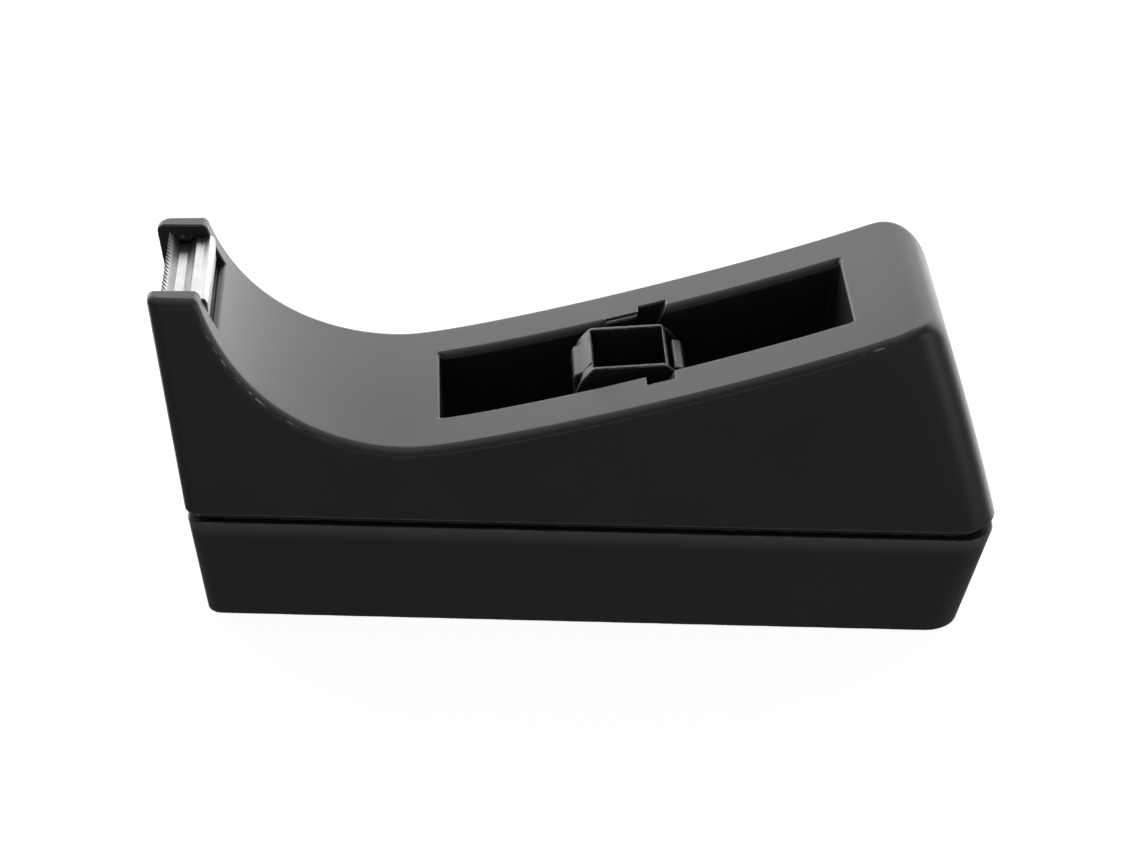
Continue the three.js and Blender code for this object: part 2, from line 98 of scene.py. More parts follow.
HUB_AXIS = (11.65, 44.3)
HUB_TILT = math.radians(4.3)
NOTCH_HALF = 2.25
NOTCH_OUT = 16.5
NOTCH_SLANT = math.radians(26)
STEP_OUT = 14.3
STEP_DEPTH = 0.4
STEP_WIDTH = 5.5

EAR_INSIDE = 14.2
SEAT_TOP = 69.6
SEAT_REAR = -77.4
WINDOW_FRONT = -76.9
WINDOW_BOTTOM = 65.7
WINDOW_END = -60.0
HEAD_BOTTOM = 64.0  # the housing is solid above this at the front, to hold the blade
FRONT_RECESS = -84.6
FRONT_RECESS_BOTTOM = 52.0
GROOVE_X = -75.75
GROOVE_HALF = 0.14
GROOVE_BOTTOM = 64.9

DOME = (-83.2, 72.3)
DOME_RADIUS = 0.75
TONGUE = (-83.0, 73.15)
TONGUE_HALF = 1.95
TONGUE_RISE = 0.3
TONGUE_TOP = 74.3

SCREWS = [(-63, -13), (-63, 13), (71, -18), (71, 18)]
BOSS_RADIUS = 3.4
BOSS_BOTTOM = 14.0
PILOT_RADIUS = 1.55
PILOT_TOP = 30.0
POST_RADIUS = 4.6
POST_TOP = 13.7
SHANK_HOLE_TOP = 20.0
HEAD_BORE_RADIUS = 3.3
HEAD_SEAT = 8.0
PAD_INSET = 5.0
PAD_RECESS = 1.3

# ---------------------------------------------------------------- distance fields

# Each field gives the distance to a solid's surface in mm: below nought inside, above outside.


def meet(a, b, radius=0.0):
    """Where both solids are, with the edge between them rounded."""
    rounded = np.hypot(np.maximum(a + radius, 0), np.maximum(b + radius, 0))
    return np.minimum(-radius, np.maximum(a, b)) + rounded if np.any(radius) else np.maximum(a, b)


def join(a, b, radius=0.0):
    return -meet(-a, -b, radius)


def cut(a, b, radius=0.0):
    return meet(a, -b, radius)


def smooth_step(low, high, value):
    """Rises smoothly from nought at low to one at high."""
    t = np.clip((value - low) / (high - low), 0, 1)
    return t * t * (3 - 2 * t)


def bezier(points, count):
    """Points along a cubic curve through two ends with two handles."""
    t = np.linspace(0, 1, count)[:, None]
    a, b, c, d = np.array(points, float)
    return (1 - t) ** 3 * a + 3 * (1 - t) ** 2 * t * b + 3 * (1 - t) * t**2 * c + t**3 * d


def top_outline():
    """Heights along the finger scoop and the rising back, carried straight on past both ends."""
    line = np.vstack([bezier(points, 600) for points in TOP_CURVES])
    line = line[np.r_[True, np.diff(line[:, 0]) > 1e-9]]
    first = line[0] - (line[1] - line[0]) / (line[1] - line[0])[0] * 20
    last = line[-1] + (line[-1] - line[-2]) / (line[-1] - line[-2])[0] * 30
    return np.vstack([first, line, last])


TOP = top_outline()
TOP_SLOPE = np.gradient(TOP[:, 1], TOP[:, 0])


def over_back(x, z):
    """Distance above the scoop and the back."""
    slope = np.interp(x, TOP[:, 0], TOP_SLOPE)
    return (z - np.interp(x, TOP[:, 0], TOP[:, 1])) / np.sqrt(1 + slope**2)


def housing_around(x, y, z):
    """The housing's four sides with their corners rounded, and its rear side alone."""
    rise = z - HOUSING_BOTTOM
    up = np.maximum(rise, 0)
    width = HALF_WIDTH + PLAN_TAPER * x - SIDE_DRAFT * z
    side = (np.abs(y) - width) / math.hypot(1, PLAN_TAPER, SIDE_DRAFT)
    rear_x = REAR_AT_SEAM - REAR_LEAN * rise - REAR_BOW * rise * up
    rear = (x - rear_x) / np.sqrt(1 + (REAR_LEAN + 2 * REAR_BOW * up) ** 2)
    front = (FRONT_AT_SEAM - FRONT_LEAN * rise - x) / math.hypot(1, FRONT_LEAN)
    return meet(meet(side, rear, REAR_CORNER), front, FRONT_CORNER), rear


def housing_outside(x, y, z):
    over = meet(over_back(x, z), z - EAR_TOP, EAR_EDGE)
    around, rear = housing_around(x, y, z)
    over = meet(over, rear - REAR_EDGE_OUT, REAR_EDGE)
    return meet(around, over, SIDE_EDGE)


def highlight_height(x, y, z):
    """Distance above the top outline in mm, which places the painted highlights and is the same at every y,
    with the highlight shift added.
    """
    above = np.maximum(over_back(x, z), z - EAR_TOP)
    return np.clip(above, -HIGHLIGHT_REACH, HIGHLIGHT_REACH) + HIGHLIGHT_SHIFT


def well_profile(x, z):
    """Round floor between an upright front wall and a leaning rear wall, seen from the side."""
    right, up = x - WELL_CENTRE[0], z - WELL_CENTRE[1]
    below = np.where(right < 0, up < 0, up < -math.tan(WELL_LEAN) * right)
    walls = np.maximum(-right, right * math.cos(WELL_LEAN) - up * math.sin(WELL_LEAN))
    return np.where(below, np.hypot(right, up), walls) - WELL_RADIUS


def along_notch(x, z):
    """How far up the slanted notch a point is, and how far towards its rear."""
    right, up = x - HUB_AXIS[0], z - HUB_AXIS[1]
    along = right * math.sin(NOTCH_SLANT) + up * math.cos(NOTCH_SLANT)
    across = right * math.cos(NOTCH_SLANT) - up * math.sin(NOTCH_SLANT)
    return along, across


def notch_profile(x, z):
    along, across = along_notch(x, z)
    return np.where(along > 0, np.abs(across), np.hypot(along, across)) - NOTCH_HALF


def ear_snap(x, y, z):
    """Small dome on a thin tongue inside each ear, which holds the blade's channel down."""
    out = np.abs(y) - EAR_INSIDE
    dome = np.sqrt((x - DOME[0]) ** 2 + (out - 0.1) ** 2 + (z - DOME[1]) ** 2) - DOME_RADIUS
    beside, up = x - TONGUE[0], z - TONGUE[1]
    disc = np.where(up < 0, np.hypot(beside, up), np.abs(beside)) - TONGUE_HALF
    tongue = meet(meet(disc, -TONGUE_RISE - out, 0.15), z - TONGUE_TOP, 0.1)
    return np.minimum(dome, np.maximum(tongue, out - 0.5))


def from_screws(x, y):
    """Distance in plan to the nearest screw's axis."""
    return np.minimum.reduce([np.hypot(x - sx, y - sy) for sx, sy in SCREWS])


def notch_step(x, y, z, outside):
    """Shallow step in the top, in front of the notch on the +Y side."""
    across = along_notch(x, z)[1]
    plan = meet(np.abs(y) - STEP_OUT, np.maximum(-across - NOTCH_HALF - STEP_WIDTH, across), 0.4)
    return np.maximum(meet(plan, -STEP_DEPTH - outside, 0.1), -y)


def well_lip(x, y, z, side, profile):
    """Rounding of the well's lip: soft along the +Y side, sharper beside the step and elsewhere."""
    soft = smooth_step(-1.5, 1.0, side - profile) * (y > 0)
    lip = WELL_LIP + (WELL_LIP_SOFT - WELL_LIP) * soft
    across = along_notch(x, z)[1]
    by_step = smooth_step(-0.6, 0.6, STEP_WIDTH + NOTCH_HALF + across) * smooth_step(0.8, -0.4, across)
    return lip + (WELL_LIP_AT_STEP - lip) * by_step


def front_openings(x, y, z):
    """Between the ears: the space over the blade, the recess under its teeth, the window behind it."""
    ear = np.abs(y) - EAR_INSIDE
    over_blade = meet(np.maximum(x - WINDOW_FRONT, SEAT_TOP - z), ear, 0.3)
    face = np.maximum(np.maximum(x - FRONT_RECESS, FRONT_RECESS_BOTTOM - z), ear)
    window = np.maximum(np.maximum(SEAT_REAR - x, x - WINDOW_END), np.maximum(WINDOW_BOTTOM - z, ear))
    return np.minimum(np.minimum(over_blade, face), window)


def blade_groove(x, y, z):
    """Thin groove across the window's floor."""
    along = np.maximum(np.abs(x - GROOVE_X) - GROOVE_HALF, GROOVE_BOTTOM - z)
    return np.maximum(along, np.abs(y) - EAR_INSIDE)


def housing(x, y, z):
    outside = housing_outside(x, y, z)
    side = np.abs(y) - WELL_HALF
    profile = well_profile(x, z)
    well = meet(side, profile, WELL_CORNER)
    notch = np.maximum(notch_profile(x, z), np.abs(y) - NOTCH_OUT)
    block = cut(outside, notch_step(x, y, z, outside), 0.1)
    block = cut(block, well, well_lip(x, y, z, side, profile))
    head = np.maximum(HEAD_BOTTOM - z, x - WINDOW_END)
    hollow = cut(outside + WALL, head)
    walls = np.minimum(np.minimum(-hollow, well - WELL_WALL), notch - WELL_WALL)
    solid = meet(np.maximum(block, walls), HOUSING_BOTTOM - z, SEAM_EDGE)
    trough = np.maximum(cut(outside, well), well - WELL_WALL)
    solid = np.minimum(solid, trough)
    solid = np.where(z > ROUNDED_LIP_ABOVE, np.maximum(solid, block), solid)
    away = from_screws(x, y)
    solid = np.minimum(solid, np.maximum(np.maximum(away - BOSS_RADIUS, outside + 1), BOSS_BOTTOM - z))
    solid = cut(solid, np.maximum(away - PILOT_RADIUS, z - PILOT_TOP))
    solid = cut(solid, notch, 0.2)
    solid = cut(solid, front_openings(x, y, z), 0.2)
    solid = cut(solid, blade_groove(x, y, z))
    return np.minimum(solid, ear_snap(x, y, z))


def tray_around(x, y, z):
    """The tray's four sides, which tuck in downwards, with their corners rounded."""
    drop = TRAY_TOP - z
    tuck = TRAY_STEP + TRAY_TUCK * drop
    width = HALF_WIDTH + PLAN_TAPER * x - SIDE_DRAFT * HOUSING_BOTTOM - tuck
    side = (np.abs(y) - width) / math.hypot(1, PLAN_TAPER, TRAY_TUCK)
    rear = (x - REAR_AT_SEAM + TRAY_STEP + TRAY_REAR_TUCK * drop) / math.hypot(1, TRAY_REAR_TUCK)
    front = (FRONT_AT_SEAM + tuck - x) / math.hypot(1, TRAY_TUCK)
    return meet(meet(side, rear, REAR_CORNER - 2), front, FRONT_CORNER)


def tray(x, y, z):
    around = tray_around(x, y, z)
    body = meet(meet(around, z - TRAY_TOP, TRAY_TOP_EDGE), TRAY_BOTTOM - z, TRAY_BOTTOM_EDGE)
    lip_around = housing_around(x, y, np.maximum(z, LIP_BOTTOM))[0] + LIP_INSET
    lip = np.maximum(meet(lip_around, z - LIP_TOP, 0.4), LIP_BOTTOM - z)
    low_inside = around + WALL
    high_inside = np.maximum(low_inside, lip_around + LIP_WALL)
    up_in = smooth_step(TRAY_TOP - 6, TRAY_TOP - 1, z)
    hollow = high_inside * up_in + low_inside * (1 - up_in)
    hollow = meet(hollow, TRAY_FLOOR_TOP - z, 1.0)
    solid = cut(join(body, lip), hollow)
    away = from_screws(x, y)
    solid = np.minimum(solid, np.maximum(np.maximum(away - POST_RADIUS, 2 - z), z - POST_TOP))
    solid = cut(solid, np.maximum(around + PAD_INSET, z - PAD_RECESS), 0.2)
    solid = cut(solid, np.maximum(away - HEAD_BORE_RADIUS, z - HEAD_SEAT))
    return cut(solid, np.maximum(away - PILOT_RADIUS, z - SHANK_HOLE_TOP))


# ---------------------------------------------------------------- hub and blade


def line_field(x, z, points):
    """Distance in the XZ plane to a chain of straight lines."""
    nearest = None
    for (ax, az), (bx, bz) in zip(points, points[1:]):
        dx, dz = bx - ax, bz - az
        t = np.clip(((x - ax) * dx + (z - az) * dz) / (dx * dx + dz * dz), 0, 1)
        away = np.hypot(x - ax - t * dx, z - az - t * dz)
        nearest = away if nearest is None else np.minimum(nearest, away)
    return nearest


FLANGE_RADIUS = 12.45
FLANGE_FLAT = 9.9
FLANGE_OUT = 8.8
FLANGE_IN = 7.7
HUB_INSIDE = 7.65
HUB_WALL = 0.7
PAD_HALF = 5.95
STUB_RADIUS = 1.85
STUB_END = 15.7
FINGER_HALF = 0.5
FINGER = [
    (-7.9, 9.25), (-9.6, 7.3), (-11.1, 6.75), (-11.45, 6.2), (-11.45, -6.2), (-11.1, -6.75), (-9.9, -7.1),
]
ROOT_REACH = 10.5  # the fingers' wide roots end this far from the axis
ROOT_SLANT = (0.93, -0.37)  # direction, in x and z, in which they end towards the middle


def hub_local(x, y, z):
    """The hub about its own axis: flanges, the box's end walls, two bent fingers and two stub axles."""
    disc = meet(np.hypot(x, z) - FLANGE_RADIUS, np.abs(z) - FLANGE_FLAT, 0.3)
    flange = meet(disc, np.maximum(np.abs(y) - FLANGE_OUT, FLANGE_IN - np.abs(y)), 0.25)
    between = np.abs(y) - FLANGE_IN - 0.2
    walls = meet(np.abs(x) - HUB_INSIDE - HUB_WALL, disc, 0.25)
    walls = np.maximum(np.maximum(walls, HUB_INSIDE - np.abs(x)), between)
    solid = np.minimum(flange, walls)
    for turn in (1, -1):
        bar = line_field(turn * x, turn * z, FINGER) - FINGER_HALF
        pad = meet(bar, np.abs(y) - PAD_HALF, 0.3)
        inwards = turn * (x * ROOT_SLANT[0] + z * ROOT_SLANT[1])
        root = np.maximum(np.maximum(bar, between), inwards)
        root = np.maximum(root, np.maximum(disc, -turn * x - ROOT_REACH))
        root = np.maximum(root, -turn * z)
        solid = np.minimum(solid, np.minimum(pad, root))
    stub = meet(np.hypot(x, z) - STUB_RADIUS, np.abs(y) - STUB_END, 0.3)
    stub = np.maximum(stub, FLANGE_IN + 0.4 - np.abs(y))
    return np.minimum(solid, stub)


def hub(x, y, z):
    right, up = x - HUB_AXIS[0], z - HUB_AXIS[1]
    c, s = math.cos(HUB_TILT), math.sin(HUB_TILT)
    return hub_local(right * c + up * s, y, up * c - right * s)


BLADE_HALF = 13.7
BLADE_SHEET = 0.5
TOOTH_COUNT = 18
TOOTH_DEPTH = 1.0
BLADE_LINE = [
    (-85.9, 74.2), (-84.75, 72.9), (-83.6, 70.9), (-81.75, 70.9), (-80.4, 72.0), (-79.95, 72.45),
    (-79.1, 72.3), (-78.3, 72.4), (-77.3, 72.9), (-76.7, 72.6), (-76.3, 71.8), (-76.2, 67.4),
]


def blade(x, y, z):
    """Sheet along BLADE_LINE, which is its top face, with a zigzag cut into its front."""
    line = np.array(BLADE_LINE)
    ahead = np.gradient(line, axis=0)
    ahead /= np.linalg.norm(ahead, axis=1)[:, None]
    middle = line + np.c_[ahead[:, 1], -ahead[:, 0]] * BLADE_SHEET / 2
    start = middle[0] - ahead[0] * 0.5
    sheet = line_field(x, z, [tuple(start), *map(tuple, middle)]) - BLADE_SHEET / 2
    pitch = 2 * BLADE_HALF / TOOTH_COUNT
    phase = np.abs(np.mod((y + BLADE_HALF) / pitch, 1) - 0.5) * 2
    root = BLADE_LINE[0][0] + TOOTH_DEPTH * phase
    return np.maximum(meet(sheet, np.abs(y) - BLADE_HALF, 0.1), (root - x) * 0.6)


# ---------------------------------------------------------------- meshes from fields


def spread(start, *spans):
    """Grid lines from start through spans of (end, step)."""
    lines = [np.array([start], float)]
    for end, step in spans:
        begin = lines[-1][-1]
        count = max(1, round((end - begin) / step))
        lines.append(np.linspace(begin, end, count + 1)[1:])
    return np.concatenate(lines).astype(np.float32)


def both_ways(*spans):
    """Grid lines out from nought through spans of (end, step), on both sides of nought."""
    half = spread(0, *spans)
    return np.concatenate([-half[:0:-1], half])


def surface_net(field, lines):
    """Points and quads of the surface where a field is nought, over a grid of uneven steps."""
    xs, ys, zs = lines
    away = field(xs[:, None, None], ys[None, :, None], zs[None, None, :])
    inside = away < 0
    size = [n - 1 for n in inside.shape]
    total = np.zeros(size, np.int8)
    for i, j, k in itertools.product((0, 1), repeat=3):
        total += inside[i:size[0] + i, j:size[1] + j, k:size[2] + k]
    cells = np.argwhere((total > 0) & (total < 8))
    number = np.full(size, -1, np.int32)
    number[tuple(cells.T)] = np.arange(len(cells))
    sums = np.zeros((len(cells), 3))
    hits = np.zeros(len(cells))
    for axis in range(3):
        b, c = (axis + 1) % 3, (axis + 2) % 3
        for p, q in itertools.product((0, 1), repeat=2):
            start = cells.copy()
            start[:, b] += p
            start[:, c] += q
            end = start.copy()
            end[:, axis] += 1
            d0, d1 = away[tuple(start.T)], away[tuple(end.T)]
            crossed = (d0 < 0) != (d1 < 0)
            t = np.where(crossed, d0 / np.where(crossed, d0 - d1, 1), 0)
            for a in range(3):
                low, high = lines[a][start[:, a]], lines[a][end[:, a]]
                sums[:, a] += np.where(crossed, low + t * (high - low), 0)
            hits += crossed
    points = sums / hits[:, None]
    quads = []
    for axis in range(3):
        b, c = (axis + 1) % 3, (axis + 2) % 3
        low = np.take(inside, range(size[axis]), axis)
        high = np.take(inside, range(1, size[axis] + 1), axis)
        edges = np.argwhere(low != high)
        within = (edges[:, b] > 0) & (edges[:, b] < size[b]) & (edges[:, c] > 0) & (edges[:, c] < size[c])
        edges = edges[within]
        ring = []
        for p, q in ((-1, -1), (0, -1), (0, 0), (-1, 0)):
            cell = edges.copy()
            cell[:, b] += p
            cell[:, c] += q
            ring.append(number[tuple(cell.T)])
        ring = np.array(ring).T
        backwards = ~low[tuple(edges.T)]
        ring[backwards] = ring[backwards][:, ::-1]
        quads.append(ring)
    return points, np.concatenate(quads)


def slope_of(field, points, step):
    """The field's rate of change along each axis."""
    slope = np.empty_like(points)
    for axis in range(3):
        shift = np.zeros(3)
        shift[axis] = step
        slope[:, axis] = (field(*(points + shift).T) - field(*(points - shift).T)) / (2 * step)
    return slope


def settle(field, points, rounds=3, most=0.25):
    """Moves points onto the surface of the field."""
    for _ in range(rounds):
        slope = slope_of(field, points, 0.02)
        move = -field(*points.T)[:, None] * slope / np.maximum((slope**2).sum(1), 0.3)[:, None]
        length = np.linalg.norm(move, axis=1)[:, None]
        points = points + move * np.minimum(1, most / np.maximum(length, 1e-9))
    return points


def curvature(field, points, step):
    """How sharply the surface turns, in 1/mm: above nought on outer edges, below in hollows."""
    total = -6 * field(*points.T)
    for axis in range(3):
        shift = np.zeros(3)
        shift[axis] = step
        total += field(*(points + shift).T) + field(*(points - shift).T)
    return total / step**2


def mesh_of(name, points, faces):
    """A Blender mesh of points in mm."""
    mesh = bpy.data.meshes.new(name)
    mesh.vertices.add(len(points))
    mesh.vertices.foreach_set("co", np.ascontiguousarray(points * MM, np.float32).ravel())
    mesh.loops.add(faces.size)
    mesh.loops.foreach_set("vertex_index", np.ascontiguousarray(faces, np.int32).ravel())
    mesh.polygons.add(len(faces))
    mesh.polygons.foreach_set("loop_start", np.arange(0, faces.size, faces.shape[1], dtype=np.int32))
    mesh.update(calc_edges=True)
    return mesh


def thinned(mesh, faces_kept):
    """A mesh of quads turned into triangles, with its flatter parts in fewer faces."""
    work = bpy.data.objects.new("work", mesh)
    bpy.context.scene.collection.objects.link(work)
    triangles = 2 * len(mesh.polygons)
    thin = work.modifiers.new("thin", "DECIMATE")
    thin.ratio = min(1, faces_kept / triangles)
    thin.use_collapse_triangulate = True
    evaluated = work.evaluated_get(bpy.context.evaluated_depsgraph_get())
    result = bpy.data.meshes.new_from_object(evaluated)
    bpy.data.objects.remove(work)
    bpy.data.meshes.remove(mesh)
    return result


def moulded(name, field, lines, material, faces_kept, height_for_highlights=None):
    """A piece meshed from its field, with exact positions, exact normals, edge values, and the height values
    that place the painted highlights.
    """
    points, quads = surface_net(field, lines)
    points = settle(field, points)
    mesh = thinned(mesh_of(name, points, quads), faces_kept)
    mesh.name = name
    flat = np.empty(len(mesh.vertices) * 3, np.float32)
    mesh.vertices.foreach_get("co", flat)
    points = settle(field, flat.reshape(-1, 3).astype(float) / MM, rounds=2, most=0.1)
    mesh.vertices.foreach_set("co", np.ascontiguousarray(points * MM, np.float32).ravel())
    edge = mesh.attributes.new("edge", "FLOAT", "POINT")
    edge.data.foreach_set("value", np.clip(curvature(field, points, 0.15), -4, 4).astype(np.float32))
    # height above the top outline, which places the painted highlights
    if height_for_highlights:
        rub_and_sheen = mesh.attributes.new("rub_and_sheen", "FLOAT", "POINT")
        rub_and_sheen.data.foreach_set("value", height_for_highlights(*points.T).astype(np.float32))
    mesh.polygons.foreach_set("use_smooth", np.ones(len(mesh.polygons), bool))
    slope = slope_of(field, points, 0.04)
    slope /= np.maximum(np.linalg.norm(slope, axis=1), 1e-9)[:, None]
    mesh.normals_split_custom_set_from_vertices(slope.tolist())
    mesh.materials.append(material)
    piece = bpy.data.objects.new(name, mesh)
    bpy.context.scene.collection.objects.link(piece)
    return piece


# ---------------------------------------------------------------- materials


class Nodes:
    """A material's node tree, with short ways to add and link nodes."""

    def __init__(self, name):
        self.material = bpy.data.materials.new(name)
        self.material.use_nodes = True
        self.tree = self.material.node_tree
        self.tree.nodes.clear()
        self.place = self.add("ShaderNodeTexCoord").outputs["Object"]

    def add(self, kind, inputs=None, **settings):
        node = self.tree.nodes.new(kind)
        for key, value in settings.items():
            setattr(node, key, value)
        for key, value in (inputs or {}).items():
            self.put(value, node.inputs[key])
        return node

    def put(self, value, socket):
        if isinstance(value, bpy.types.NodeSocket):
            self.tree.links.new(value, socket)
        else:
            socket.default_value = value

    def noise(self, size_mm, detail=3.0, roughness=0.5, stretch=(1, 1, 1)):
        """Noise about 0.5, whose blotches are about size_mm across."""
        scaled = self.add("ShaderNodeVectorMath", {0: self.place, 1: stretch}, operation="MULTIPLY")
        inputs = {
            "Vector": scaled.outputs[0],
            "Scale": 1 / (size_mm * MM),
            "Detail": detail,
            "Roughness": roughness,
        }
        return self.add("ShaderNodeTexNoise", inputs).outputs["Fac"]

    def math(self, operation, a, b=0.0, c=0.0, clamp=False):
        node = self.add("ShaderNodeMath", {0: a, 1: b, 2: c}, operation=operation, use_clamp=clamp)
        return node.outputs[0]

    def ramp(self, value, low, high, out_low=0.0, out_high=1.0):
        inputs = {"Value": value, "From Min": low, "From Max": high, "To Min": out_low, "To Max": out_high}
        return self.add("ShaderNodeMapRange", inputs, interpolation_type="SMOOTHSTEP").outputs["Result"]

    def band(self, value, centre, flat, fade, peak=1.0):
        """Peak within flat of the centre, falling to nought at fade from it."""
        away = self.math("ABSOLUTE", self.math("SUBTRACT", value, centre))
        return self.ramp(away, flat, fade, peak, 0)

    def attribute(self, name):
        return self.add("ShaderNodeAttribute", attribute_name=name).outputs["Fac"]

    def axes(self):
        """The place's X, Y and Z, in metres."""
        return self.add("ShaderNodeSeparateXYZ", {0: self.place}).outputs

    def over_top(self):
        """Distance above the housing's top outline in mm, from the height values that place the painted
        highlights.
        """
        return self.math("SUBTRACT", self.attribute("rub_and_sheen"), HIGHLIGHT_SHIFT)

    def mix(self, amount, a, b):
        node = self.add("ShaderNodeMix", data_type="RGBA")
        self.put(amount, node.inputs["Factor"])
        self.put(a, node.inputs[6])
        self.put(b, node.inputs[7])
        return node.outputs[2]

    def bump(self, height, depth_mm, normal=None):
        inputs = {"Height": height, "Strength": 1.0, "Distance": depth_mm * MM}
        if normal is not None:
            inputs["Normal"] = normal
        return self.add("ShaderNodeBump", inputs).outputs["Normal"]

    def finish(self, **inputs):
        shader = self.add("ShaderNodeBsdfPrincipled", inputs)
        self.add("ShaderNodeOutputMaterial", {"Surface": shader.outputs[0]})
        return self.material


def grey(value, warmth=0.0):
    """A grey, slightly redder and less blue where warmth is above nought."""
    return (value * (1 + warmth), value, value * (1 - warmth), 1.0)


def painted_highlight_lines(n):
    """Painted highlights in thin pale lines, standing in for light caught by the roundings: on the rounding
    beside the scoop, in one stretch further up the back, and on the -Y lip of the well."""
    x, y, _ = n.axes()
    over = n.over_top()
    low = n.band(over, 0.8 - SIDE_EDGE, 0.05, 0.22)
    outside = n.ramp(n.math("ABSOLUTE", y), 16 * MM, 17 * MM)
    by_scoop = n.math("MULTIPLY", n.ramp(x, -79 * MM, -73 * MM), n.ramp(x, -66 * MM, -46 * MM, 1, 0.04))
    back_highlight = n.band(x, 61 * MM, 3 * MM, 6 * MM, 0.8)
    # painted highlight along the rounding beside the scoop and in one stretch further up the back
    beside = n.math("MULTIPLY", n.math("MULTIPLY", low, outside), n.math("MAXIMUM", by_scoop, back_highlight))
    # painted highlight along the crest of the well's -Y lip
    crest = n.band(y, -(WELL_HALF + 0.2) * MM, 0.07 * MM, 0.2 * MM)
    lip = n.math("MULTIPLY", crest, n.ramp(over, -0.6, -0.4))
    along_well = n.math("MULTIPLY", n.ramp(x, -30 * MM, -29 * MM), n.ramp(x, 52 * MM, 54 * MM, 1, 0))
    return n.math("MAXIMUM", beside, n.math("MULTIPLY", lip, along_well))


def painted_rim_highlight(n, edge):
    """Painted highlight on the rounding along the housing's top, standing in for light from overhead: how
    pale it is, most on its upper half.
    """
    over = n.over_top()
    upper = n.math("MULTIPLY", n.ramp(over, -0.15, -0.02, 1, 0), n.ramp(over, -1.2, -0.05))
    return n.math("MULTIPLY", upper, n.ramp(edge, 0.25, 0.5, 0, 0.22))


def seam_highlight(n):
    """Painted highlights beside the seam: how pale the plastic is in a soft band on the tray below it and in
    a thin line above it.
    """
    height = n.axes()["Z"]
    # painted highlight: the tray paler over its top 4 mm
    band = n.ramp(height, (TRAY_TOP - 4.5) * MM, (TRAY_TOP - 0.3) * MM, 0, 0.14)
    band = n.math("MULTIPLY", band, n.math("LESS_THAN", height, (TRAY_TOP - 0.06) * MM))
    # painted highlight: thin line along the housing's bottom edge
    line = n.band(height, (HOUSING_BOTTOM + 0.15) * MM, 0.08 * MM, 0.3 * MM, 0.2)
    return n.math("MAXIMUM", band, line)


def moulded_plastic(name, tone, roughness, grain_mm, grain_depth):
    """Black satin moulding: fine eroded grain, faint flow clouds, edges paler from wear, and painted
    highlights: thin pale lines and a pale rim on the roundings along the top and the well's lip, a pale band
    and line beside the seam.
    """
    n = Nodes(name)
    cloud = n.noise(38, 4, 0.55)
    fine = n.noise(grain_mm, 2, 0.6)
    rub_and_sheen = n.noise(5, 4, 0.65)
    line_breakup = n.noise(0.9, 3, 0.7, stretch=(0.25, 1, 0.5))
    edge = n.attribute("edge")
    wear_and_highlight = n.math("MULTIPLY", n.math("MULTIPLY", n.ramp(edge, 0.9, 2.6), n.ramp(rub_and_sheen, 0.38, 0.62)), 0.25)
    # painted highlight lines, broken up by noise
    highlight_lines = n.math("MULTIPLY", painted_highlight_lines(n), n.ramp(line_breakup, 0.42, 0.60))
    highlight_lines = n.math("MULTIPLY", highlight_lines, n.ramp(rub_and_sheen, 0.34, 0.56))
    # the painted highlights join the edge wear
    for more in (highlight_lines, seam_highlight(n), painted_rim_highlight(n, edge)):
        wear_and_highlight = n.math("MAXIMUM", wear_and_highlight, more)
    colour = n.mix(n.ramp(cloud, 0.3, 0.7), grey(tone * 0.9), grey(tone * 1.15))
    # pale colour of the edge wear and of the painted highlights
    colour = n.mix(n.math("MULTIPLY", wear_and_highlight, 0.8), colour, grey(tone * 32))
    rough = n.math("MULTIPLY_ADD", cloud, 0.16, roughness - 0.08)
    rough = n.math("MULTIPLY_ADD", fine, 0.08, n.math("SUBTRACT", rough, 0.04))
    rough = n.math("MULTIPLY_ADD", wear_and_highlight, -0.12, rough)
    normal = n.bump(fine, grain_depth)
    return n.finish(**{"Base Color": colour, "Roughness": rough, "Normal": normal, "IOR": 1.5})


def pressed_steel():
    """Bright pressed strip with faint rolling marks along it and dulled cut edges."""
    n = Nodes("blade_steel_look")
    marks = n.noise(0.35, 3, 0.6, stretch=(1, 0.02, 1))
    smears = n.noise(6, 4, 0.6)
    cut_edge = n.ramp(n.attribute("edge"), 1.2, 3.0)
    colour = n.mix(n.ramp(smears, 0.35, 0.7), grey(0.53, 0.01), grey(0.46, 0.01))
    colour = n.mix(n.math("MULTIPLY", cut_edge, 0.4), colour, grey(0.3))
    rough = n.math("MULTIPLY_ADD", smears, 0.10, 0.26)
    rough = n.math("MULTIPLY_ADD", marks, 0.08, rough)
    normal = n.bump(marks, 0.004)
    return n.finish(**{"Base Color": colour, "Roughness": rough, "Normal": normal, "Metallic": 1.0})


def cast_fill():
    """Rough grey cast weight with coarse grit and pits."""
    n = Nodes("cast_fill_look")
    cloud = n.noise(14, 5, 0.6)
    grit = n.noise(0.8, 4, 0.7)
    colour = n.mix(n.ramp(cloud, 0.3, 0.7), grey(0.30, 0.03), grey(0.45, 0.04))
    colour = n.mix(n.ramp(grit, 0.55, 0.75, 0, 0.6), colour, grey(0.18, 0.02))
    rough = n.ramp(grit, 0.2, 0.8, 0.85, 1.0)
    return n.finish(**{"Base Color": colour, "Roughness": rough, "Normal": n.bump(grit, 0.25)})


